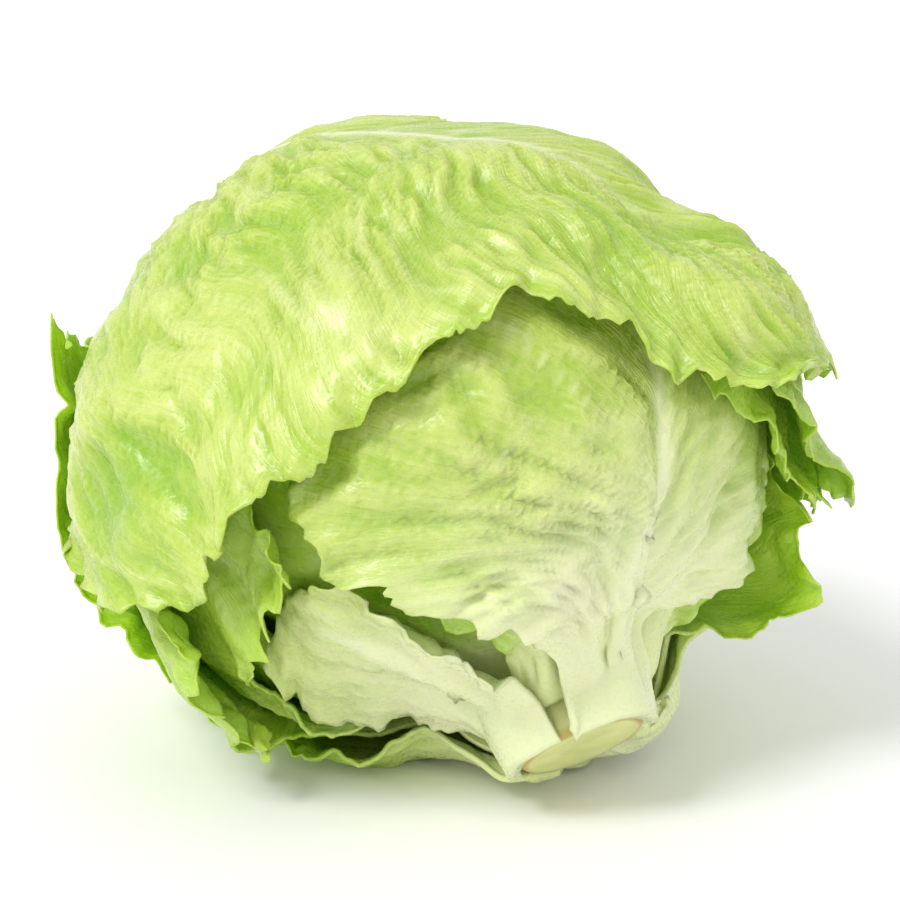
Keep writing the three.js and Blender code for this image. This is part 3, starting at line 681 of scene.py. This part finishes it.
def leaf_mesh(leaf, order):
    """The fine blade: its outer face as a grid of points, with what its colours need at each point."""
    seed = 100 * order + 7
    lattice, notch_depths = solid_lattice(leaf, order)
    rows, columns = lattice.shape[:2]
    long_way = lengths(lattice, 0)[-1].max()
    wide_way = lengths(lattice, 1)[:, -1].max()
    down, over = int(long_way / leaf["row_step"]), int(wide_way / leaf["step"])
    s = np.repeat(np.linspace(0, rows - 1, down + 1)[:, None], over + 1, 1)
    place = np.linspace(0, 1, over + 1)
    place -= CROWDING * np.sin(2 * np.pi * place) / (2 * np.pi)
    t = np.repeat((columns - 1) * place[None], down + 1, 0)
    uncut = cubic(lattice, s, t)
    from_left, from_base = lengths(uncut, 1), lengths(uncut, 0)
    from_right, from_tip = from_left[:, -1:] - from_left, from_base[-1:] - from_base
    sides = (from_left, from_right, from_base, from_tip)
    width, height = from_left + from_right, from_base + from_tip
    free = smoothstep(from_base, LOOSE_FROM * long_way, LOOSE_TO * long_way)
    s, t, margins = cut_margins(leaf, seed, (s, t), sides, free, notch_depths)
    blade = cubic(lattice, s, t)
    edge = np.maximum(np.minimum.reduce([inside for _, inside, _ in margins]), 0) + 40 * (1 - free)
    u = (s / (rows - 1)) ** ROW_POWER
    v = 2 * t / (columns - 1) - 1
    side = np.abs(v)
    normals = cubic(grid_normals(lattice), s, t)
    normals /= np.linalg.norm(normals, axis=-1, keepdims=True)
    inward, outward = clearances(leaf["name"], blade + normals * 0.2, normals, ROOM_REACH)

    # The rib stands out on the outer face, thins towards the tip and carries the veins.
    rib_half = 0.15 + 0.8 * np.exp(-u / 0.1)
    rib = (leaf["rib"] - BLADE) * (1 - u) ** 1.6 * np.exp(-((v / rib_half) ** 2))
    full = BLADE + rib
    middle = over // 2
    half_width = np.maximum(np.where(v < 0, from_left[:, [middle]], from_right[:, [middle]]), 4.0)
    across = side * half_width
    midrib = np.exp(-((across / (1.6 + 7.0 * (1 - u) ** 2)) ** 2)) * (1 - smoothstep(u, 0.6, 0.95))
    rank, steep = vein_rank(leaf, seed, blade, u, side, from_base, from_left, long_way)
    vein = vein_lines(rank, steep, v, seed + 11, MAIN_SPACING, MAIN_WIDTH)
    veinlet = vein_lines(rank, steep, v, seed + 21, FINE_SPACING, FINE_WIDTH)

    # Between the veins the blade puckers and swells, and flutes run up from its base.
    soft = smoothstep(u, 0.10, 0.36)
    rough = leaf["crinkle"]
    flow = across * 0.8 + from_base * 0.35
    calm = np.clip(1.7 / blurred(steep, 3), 0.12, 1)
    calm *= 1 - (1 - leaf["right_side"]) * smoothstep(v, -0.05, 0.3)
    pucker = calm * puckers(leaf, seed, rank, flow, from_base, from_left)
    swell = leaf["swell"] * spread_noise(SWELLS, from_base, from_left, seed)
    flutes = noise(v * 8.0, u * 2.0, seed + 36) * (1 - smoothstep(u, 0.45, 0.85))
    flutes *= np.clip(half_width / 45, 0.1, 1)
    relief = rough * soft * (pucker + swell) * (1 - 0.6 * midrib) + 1.1 * flutes * smoothstep(u, 0.02, 0.3)
    relief += 0.30 * vein * soft + 0.10 * veinlet * soft + 0.5 * midrib * (1 - u) + 0.55 * rough * soft
    frill = frills(leaf, seed, margins, edge) * free * np.clip(np.minimum(width, height) / FRILL_NEEDS, 0.2, 1)
    move = kept_in_room(relief + frill, inward, outward, full) * smoothstep(from_base, 1.0, 9.0)
    outer = kept_in_box(blade + normals * (full + move)[..., None])

    # What the wall and the colours need: how thick it is, how high, how white, and how near to the margin. How
    # high is the mask of the painted shade in the hollows and of the painted sheen on the crests.
    thin = MARGIN_THIN + MARGIN_GAIN * smoothstep(edge, 0.0, MARGIN_WIDTH)
    thick = np.minimum(full, thin + 0.4 * (1 - soft) + rib)
    height = relief - rough * soft * (0.5 * swell + 0.55)
    lift = leaf["least_lift"] + (1 - leaf["least_lift"]) * np.clip(0.5 + 0.55 * height / max(rough, 0.5), 0, 1)
    # Painted shade also takes some white out of the hollows: the white grows with how high the blade stands.
    pale = 1.1 * np.exp(-((u / leaf["white"]) ** 3)) * (0.72 + 0.5 * lift) + 0.85 * midrib
    return {
        "points": outer, "thick": thick, "down": down, "over": over, "plan": (rank, flow),
        "values": {
            "pale": np.clip(pale + 0.2 * flutes * (pale > 0.15), 0, 1),
            "vein": np.clip(vein + 0.45 * veinlet, 0, 1), "edge": np.exp(-edge / 5.0), "lift": lift,
        },
    }


# How strongly each pattern tints the blade, how high each stands in its bump, and how its shine varies. The
# crest share and gain set where the painted sheen begins on the relief's crests and how fast it grows.
NET_SHARPNESS = 6.0
STREAK_SHARE = 0.9
SHEEN_FROM, SHEEN_GAIN = 0.55, 1.1
MARGIN_TINT, NET_TINT, VEIN_TINT = 0.5, 0.12, 0.65
NET_BUMP, STREAK_BUMP, GRAIN_BUMP = 0.15, 1.6, 0.5
BLADE_BUMP, RIB_CALM = 0.5, 0.43
SHINE = {"From Min": 0.3, "From Max": 0.7, "To Min": 0.20, "To Max": 0.43}


def leaf_material(name, tone):
    """Green blade and white rib, with pale veins, a fine net between them and a soft waxy shine. Painted shade
    darkens the hollows of the relief to a deeper green, and a painted sheen pales its crests.
    """
    material, shader = painted(name)
    nodes, links = material.node_tree.nodes, material.node_tree.links
    shader.inputs["Specular IOR Level"].default_value = 0.65
    shader.inputs["Coat Weight"].default_value = 0.3
    shader.inputs["Coat Roughness"].default_value = 0.24
    shader.inputs["Subsurface Weight"].default_value = 0.35
    shader.inputs["Subsurface Radius"].default_value = (0.7, 1.0, 0.2)
    shader.inputs["Subsurface Scale"].default_value = 0.0022

    def feed(socket, item):
        if isinstance(item, (tuple, float)):
            socket.default_value = item
        else:
            links.new(item, socket)

    def value(attribute):
        node = nodes.new("ShaderNodeAttribute")
        node.attribute_name = attribute
        return node.outputs["Fac"]

    def mixed(factor, first, second):
        node = nodes.new("ShaderNodeMix")
        node.data_type = "RGBA"
        feed(node.inputs["Factor"], factor)
        feed(node.inputs[6], first)
        feed(node.inputs[7], second)
        return node.outputs[2]

    def maths(kind, *items):
        node = nodes.new("ShaderNodeMath")
        node.operation = kind
        for socket, item in zip(node.inputs, items):
            feed(socket, item)
        return node.outputs[0]

    def texture(kind, vector, **sizes):
        node = nodes.new(kind)
        for key, size in sizes.items():
            node.inputs[key].default_value = size
        links.new(vector, node.inputs["Vector"])
        return node

    space = nodes.new("ShaderNodeTexCoord").outputs["Object"]
    plan = nodes.new("ShaderNodeUVMap")
    plan.uv_map = "blade"
    along_veins = plan.outputs["UV"]
    patches = texture("ShaderNodeTexNoise", space, Scale=34.0, Detail=4.0).outputs["Fac"]
    grain = texture("ShaderNodeTexNoise", space, Scale=900.0, Detail=3.0).outputs["Fac"]
    streak_node = texture("ShaderNodeTexNoise", along_veins, Scale=22.0, Detail=5.0, Distortion=0.6)
    streaks = streak_node.outputs["Fac"]
    net_node = texture("ShaderNodeTexVoronoi", space, Scale=330.0)
    net_node.feature = "DISTANCE_TO_EDGE"
    net = maths("SMOOTH_MIN", maths("MULTIPLY", net_node.outputs["Distance"], NET_SHARPNESS), 1.0, 0.2)

    greens = colour_ramp(material, patches, tone["green"], tone["light"], 0.32, 0.68)
    # Painted shade and painted sheen: where the relief is low (its height, shifted by the streaks), the colour
    # goes to the deep green of shade; where it is high, it goes to the paler crest colour of a sheen.
    streaked = maths("MULTIPLY", maths("SUBTRACT", streaks, 0.5), STREAK_SHARE)
    height_share = maths("ADD", value("lift"), streaked)
    hollow = mixed(height_share, tone["deep"], greens)
    above = maths("SUBTRACT", height_share, SHEEN_FROM)
    crest = maths("MAXIMUM", maths("MULTIPLY", above, SHEEN_GAIN), 0.0)
    crest_sheened = mixed(crest, hollow, tone["crest"])
    frilled = mixed(maths("MULTIPLY", value("edge"), MARGIN_TINT), crest_sheened, tone["margin"])
    net_tint = maths("MULTIPLY", maths("SUBTRACT", 1.0, net), NET_TINT)
    netted = mixed(net_tint, frilled, tone["vein"])
    veined = mixed(maths("MULTIPLY", value("vein"), VEIN_TINT), netted, tone["vein"])
    paled = mixed(value("pale"), veined, tone["rib"])
    links.new(paled, shader.inputs["Base Color"])

    shine = nodes.new("ShaderNodeMapRange")
    for key, level in SHINE.items():
        shine.inputs[key].default_value = level
    links.new(grain, shine.inputs["Value"])
    links.new(shine.outputs["Result"], shader.inputs["Roughness"])
    height = maths("ADD", maths("MULTIPLY", net, NET_BUMP), maths("MULTIPLY", streaks, STREAK_BUMP))
    height = maths("ADD", height, maths("MULTIPLY", grain, GRAIN_BUMP))
    strength = maths("SUBTRACT", BLADE_BUMP, maths("MULTIPLY", value("pale"), RIB_CALM))
    add_bump(material, height, strength, 0.0005)
    return material


# Leaf colours. In each table, the deep colour is painted shade (the darker green of the relief's hollows), and
# the crest colour is a painted sheen (the paler colour of its crests). The others are the leaf's own colours.
OUTER_TONE = {
    "deep": (0.24, 0.45, 0.004, 1), "green": (0.41, 0.56, 0.022, 1), "light": (0.53, 0.64, 0.10, 1),
    "margin": (0.36, 0.55, 0.012, 1), "vein": (0.66, 0.74, 0.30, 1), "rib": (0.78, 0.83, 0.49, 1),
    "crest": (0.63, 0.71, 0.23, 1),
}
# Painted light in shade: a copy of the leaf colours, greener and more saturated, for the leaves that lie in the
# crown leaf's shade. It stands in for the light that comes through the leaves there.
SHADED_TONE = {
    "deep": (0.24, 0.47, 0.002, 1), "green": (0.42, 0.63, 0.012, 1), "light": (0.50, 0.70, 0.05, 1),
    "margin": (0.38, 0.61, 0.008, 1), "vein": (0.56, 0.74, 0.14, 1), "rib": (0.74, 0.82, 0.38, 1),
    "crest": (0.56, 0.74, 0.11, 1),
}
# Painted shade: the heart's leaves, and the two under the front leaf, take greener, more saturated colours than
# their own pale white. These stand for the shaded gaps that they show through, where light comes through the
# leaves.
HEART_SHADE_TONE = {
    "deep": (0.24, 0.49, 0.002, 1), "green": (0.38, 0.63, 0.01, 1), "light": (0.46, 0.69, 0.05, 1),
    "margin": (0.36, 0.61, 0.008, 1), "vein": (0.56, 0.75, 0.16, 1), "rib": (0.74, 0.82, 0.38, 1),
    "crest": (0.56, 0.75, 0.14, 1),
}
BLADES = {
    "outer_leaf": leaf_material("outer_blade", OUTER_TONE),
    "shaded_leaf": leaf_material("shaded_blade", SHADED_TONE),
    "heart_leaf": leaf_material("heart_blade", HEART_SHADE_TONE),
}

# The size of one tile of the streaks' pattern across the veins and along them, in mm.
STREAK_WIDE, STREAK_LONG = 28.0, 100.0


def blade_sheet(shape):
    """The blade's outer face as a mesh, and the row and column of the grid that each of its points has."""
    down, over = shape["down"], shape["over"]
    points = (shape["points"] + CENTRE) * MM
    sheet = bmesh.new()
    made = bmesh.ops.create_grid(sheet, x_segments=over, y_segments=down, size=0.5, calc_uvs=True)
    places = []
    for vert in made["verts"]:
        i, j = round((vert.co.y + 0.5) * down), round((vert.co.x + 0.5) * over)
        places.append((i, j))
        vert.co = points[i, j]
    plan = sheet.loops.layers.uv.new("blade")
    sheet.verts.index_update()
    rank, flow = shape["plan"]
    for face in sheet.faces:
        for loop in face.loops:
            i, j = places[loop.vert.index]
            loop[plan].uv = (rank[i, j] / STREAK_WIDE, flow[i, j] / STREAK_LONG)
    for layer in [x for x in sheet.loops.layers.uv.values() if x.name != "blade"]:
        sheet.loops.layers.uv.remove(layer)
    bmesh.ops.recalc_face_normals(sheet, faces=sheet.faces)
    middle = sheet.faces[len(sheet.faces) // 2]
    if middle.normal.dot(middle.calc_center_median() - Vector(CENTRE * MM)) < 0:
        bmesh.ops.reverse_faces(sheet, faces=sheet.faces)
    return sheet, np.array(places)


def build_leaf(leaf, order, slot):
    leaf = {**USUAL, **leaf}
    shape = leaf_mesh(leaf, order)
    sheet, places = blade_sheet(shape)
    name = leaf["name"].replace("leaf_", "blade_")
    mesh = bpy.data.meshes.new(name)
    sheet.to_mesh(mesh)
    sheet.free()
    for key, value in shape["values"].items():
        layer = mesh.attributes.new(key, "FLOAT", "POINT")
        layer.data.foreach_set("value", value[places[:, 0], places[:, 1]].astype(np.float32))
    mesh.shade_smooth()
    mesh.materials.append(BLADES[leaf.get("blade", slot)])
    piece = added(name, mesh)
    thick = shape["thick"][places[:, 0], places[:, 1]]
    most = float(thick.max())
    group = piece.vertex_groups.new(name="thickness")
    for n, share in enumerate(thick / most):
        group.add([n], float(share), "REPLACE")
    wall = piece.modifiers.new("wall", "SOLIDIFY")
    wall.thickness = most * MM
    wall.offset = -1
    wall.vertex_group = "thickness"
    wall.thickness_vertex_group = 0.0
    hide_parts(leaf["name"])
    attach(piece, "root")


# The four outermost leaves of the tight heart: cupped pale blades, thin and almost smooth, that close over each
# other round the core they grew on. They show only through the gaps between the outer leaves.
HEART_BASE = 14
HEART_TRAIL = 9
HEART_SHARES = (0, 0.2, 0.45, 0.72, 1)
HEART_WIDTHS = (0.62, 0.72, 1, 1.05, 1.15)


def upright(azimuth, reach, spread):
    """The rows of a heart leaf that stands straight up from the stem and closes over the top."""
    rows = []
    for share, width in zip(HEART_SHARES, HEART_WIDTHS):
        polar = HEART_BASE + (reach - HEART_BASE) * share
        half = spread * width
        trail = HEART_TRAIL * share
        rows.append([(polar - trail, azimuth - half), (polar, azimuth), (polar - trail, azimuth + half)])
    return rows


INNER = [
    {"name": "leaf_inner_front", "rows": upright(0, 140, 64), "seat": 13, "rib": 2.2, "cells": (9, 12)},
    {"name": "leaf_inner_right", "rows": upright(120, 140, 64), "seat": 13, "rib": 2.2, "cells": (9, 12)},
    {"name": "leaf_inner_left", "rows": upright(-120, 140, 64), "seat": 13, "rib": 2.2, "cells": (9, 12)},
    {"name": "leaf_inner_back", "rows": upright(178, 150, 52), "seat": 12, "rib": 2.2, "cells": (10, 12)},
]
# Their colours are the heart's painted shade, greener than these pale blades are.
for order, leaf in enumerate(INNER):
    leaf.update(row_step=2.2, step=2.2, frill=0.2, crinkle=0.5, white=0.2)
    build_leaf(leaf, order, "heart_leaf")

# The two leaves under the front one: pale, tender and thick at the rib, grown on the core just inside it. Their
# folds show on both sides of its base.
# These two take the heart's painted shade colours as well.
build_leaf({
    "name": "leaf_right_under",
    "seat": 10, "rib": 3, "cells": (11, 12), "white": 0.35,
    "rows": [
        [(13, 68), (13, 98), (13, 128)],
        [(24, 56), (25, 86), (24, 114)],
        [(38, 48), (38, 74), (34, 97)],
        [(60, 44), (62, 68), (57, 91)],
        [(80, 44), (82, 66), (78, 90)],
    ],
}, 4, "heart_leaf")
build_leaf({
    "name": "leaf_front_under",
    "seat": 10, "rib": 3, "cells": (11, 12),
    "rows": [
        [(13, -34), (13, -12), (13, 10)],
        [(25, -17), (26, 0), (26, 20)],
        [(34, -19), (40, 0), (40, 28)],
        [(48, -26), (60, -4), (60, 30)],
        [(66, -26), (80, -4), (80, 28)],
    ],
}, 5, "heart_leaf")

# The pale leaf that runs from the cut to the lower left: mostly thick smooth rib, with a short green frill. It
# grew from the rim of the core and lies close on the heart.
build_leaf({
    "name": "leaf_lower_left",
    "seat": 0, "rib": 4, "cells": (12, 14), "lobes": (0.5, 1, 0.5), "teeth": (1.6, 7.0, 0.25),
    "white": 0.75, "fan": 1.1, "crinkle": 0.9, "swell": 0.6, "least_lift": 0.4,
    "rows": [
        [(12, -102), (12, -58), (12, -14)],
        [(22, -104), (22, -54), (23, -16)],
        [(33, -99), (36, -45), (36, -20)],
        [(46, -90), (50, -46), (50, -26)],
        [(58, -66), (62, -46), (58, -32)],
    ],
}, 6, "outer_leaf")

# The large front leaf: a broad white rib that fans out into veins in a pale blade, crinkled across towards the
# left. It grew from the rim of the core and wraps the front of the heart.
build_leaf({
    "name": "leaf_front",
    "seat": 0, "rib": 4.4, "cells": (15, 18), "lobes": (1, 1, 0.2), "folds": (42.0, 9.5),
    "white": 0.55, "crinkle": 2.3, "swell": 0.35, "least_lift": 0.3, "right_side": 0.4,
    "rows": [
        [(12, -5), (12, 43), (12, 91)],
        [(25, 1), (24, 36), (24, 62)],
        [(40, -12), (41, 35), (36, 80)],
        [(52, -27), (57, 38), (50, 84)],
        [(68, -33), (76, 38), (64, 74)],
        [(92, -18), (98, 34), (87, 66)],
    ],
}, 7, "outer_leaf")

# The frilled leaf at the lower right: thin and green, grown on the core a little inside the outer leaves. It
# stands off the head and shows its green inner face, deepened by painted shade.
build_leaf({
    "name": "leaf_right_low", "blade": "shaded_leaf",
    "seat": 8, "rib": 3, "cells": (15, 13),
    "rows": [
        [(12, 120), (12, 134), (12, 148)],
        [(24, 131), (26, 148), (27, 170)],
        [(34, 98), (44, 140), (48, 178)],
        [(45, 87), (62, 132), (70, 172)],
        [(56, 81), (78, 118), (90, 158)],
        [(66, 80), (90, 108), (104, 140)],
    ],
}, 8, "outer_leaf")

# The leaves that come round from the right and the left: full green blades in the shade of the crown leaf. Each
# grew low on the back of the core, and its tip hangs under the crown leaf's margin.
# These take the shaded tone: painted light in the crown leaf's shade.
build_leaf({
    "name": "leaf_right_inner", "blade": "shaded_leaf",
    "seat": 6, "rib": 3, "cells": (16, 10),
    "rows": [
        [(12, 173), (12, 164), (12, 155)],
        [(46, 152), (38, 144), (32, 135)],
        [(76, 128), (62, 121), (44, 114)],
        [(92, 94), (78, 97), (52, 100)],
        [(90, 66), (76, 76), (54, 91)],
        [(82, 48), (68, 62), (52, 85)],
        [(68, 42), (57, 57), (50, 78)],
    ],
}, 9, "outer_leaf")
build_leaf({
    "name": "leaf_left_inner", "blade": "shaded_leaf",
    "seat": 8, "rib": 3, "cells": (16, 10), "frill": 1.4,
    "rows": [
        [(12, -132), (12, -122), (12, -113)],
        [(44, -140), (36, -124), (28, -108)],
        [(84, -134), (64, -110), (42, -96)],
        [(112, -104), (86, -86), (54, -84)],
        [(104, -54), (84, -62), (58, -76)],
        [(80, -34), (70, -50), (55, -70)],
        [(62, -32), (57, -48), (53, -66)],
    ],
}, 10, "outer_leaf")
build_leaf({
    "name": "leaf_left_lower", "blade": "shaded_leaf",
    "seat": 6, "rib": 3, "cells": (16, 11), "frill": 1.5,
    "rows": [
        [(12, -174), (12, -158), (12, -143)],
        [(50, -172), (38, -150), (28, -128)],
        [(94, -162), (70, -132), (42, -112)],
        [(120, -126), (92, -108), (52, -99)],
        [(110, -86), (88, -88), (55, -92)],
        [(88, -66), (72, -78), (51, -90)],
        [(65, -60), (56, -74), (46, -88)],
    ],
}, 11, "outer_leaf")
build_leaf({
    "name": "leaf_right_outer", "blade": "shaded_leaf",
    "seat": 3, "rib": 3, "cells": (16, 11), "teeth": (2.2, 5.6, 0.25),
    "rows": [
        [(12, 147), (12, 132), (12, 117)],
        [(46, 150), (40, 142), (30, 133)],
        [(80, 138), (66, 128), (44, 119)],
        [(98, 112), (82, 109), (54, 106)],
        [(98, 84), (82, 90), (57, 97)],
        [(88, 62), (73, 76), (57, 94)],
        [(66, 54), (57, 70), (54, 91)],
    ],
}, 12, "outer_leaf")

# The crown leaf: the largest and outermost, a broad thin blade held by its rib at the back of the core. It comes
# round the back and over the top, down to its toothed margin across the front.
build_leaf({
    "name": "leaf_crown",
    "seat": 4, "rib": 3, "cells": (30, 14), "row_step": 1.3, "teeth": (4.2, 7.2, 0.6),
    "white": 0.12, "fan": 0.22, "crinkle": 1.9, "frill": 1.5,
    "rows": [
        [(12, -163), (12, 177), (12, 157)],
        [(46, -168), (46, 168), (42, 146)],
        [(76, -140), (86, 178), (78, 146)],
        [(96, -104), (120, -170), (110, 148)],
        [(94, -83), (140, -145), (130, 150)],
        [(75, -66), (152, -105), (146, 146)],
        [(66, -48), (154, -50), (148, 130)],
        [(71, -32), (148, -10), (142, 116)],
        [(72, -17), (138, 14), (134, 108)],
        [(78, -1), (126, 30), (124, 104)],
        [(82, 14), (114, 42), (114, 102)],
        [(75, 27), (100, 52), (104, 101)],
        [(64, 41), (86, 64), (92, 101)],
        [(66, 57), (71, 76), (75, 100)],
    ],
}, 13, "outer_leaf")

# The lowest leaf: a thin outer blade, grown on the core behind the cut, which the head's weight presses on the
# table. Its frilled margin stands out at the left and behind.
build_leaf({
    "name": "leaf_underneath", "blade": "shaded_leaf",
    "seat": 1, "rib": 2.4, "cells": (15, 15), "frill": 1.5,
    "rows": [
        [(12, -153), (12, -132), (12, -111)],
        [(30, -188), (30, -146), (26, -108)],
        [(55, -200), (56, -148), (44, -102)],
        [(85, -202), (86, -146), (68, -101)],
        [(112, -202), (112, -136), (94, -91)],
        [(136, -192), (136, -116), (122, -64)],
    ],
}, 14, "outer_leaf")


# The heart: the tight ball of tender leaves round the core, inside the head. It shows at most as a green depth
# between the outer leaves, so its solid is left showing, in painted shade: the saturated greens of the shaded
# gaps.
def heart_material():
    material, shader = painted("heart_shade_green")
    nodes, links = material.node_tree.nodes, material.node_tree.links
    shader.inputs["Roughness"].default_value = 0.5
    cloud = nodes.new("ShaderNodeTexNoise")
    cloud.inputs["Scale"].default_value = 60.0
    links.new(nodes.new("ShaderNodeTexCoord").outputs["Object"], cloud.inputs["Vector"])
    green = colour_ramp(material, cloud.outputs["Fac"], HEART_SHADE_TONE["deep"], HEART_SHADE_TONE["light"])
    links.new(green, shader.inputs["Base Color"])
    return material


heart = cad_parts["heart"]
heart.data.materials.clear()
heart.data.materials.append(heart_material())
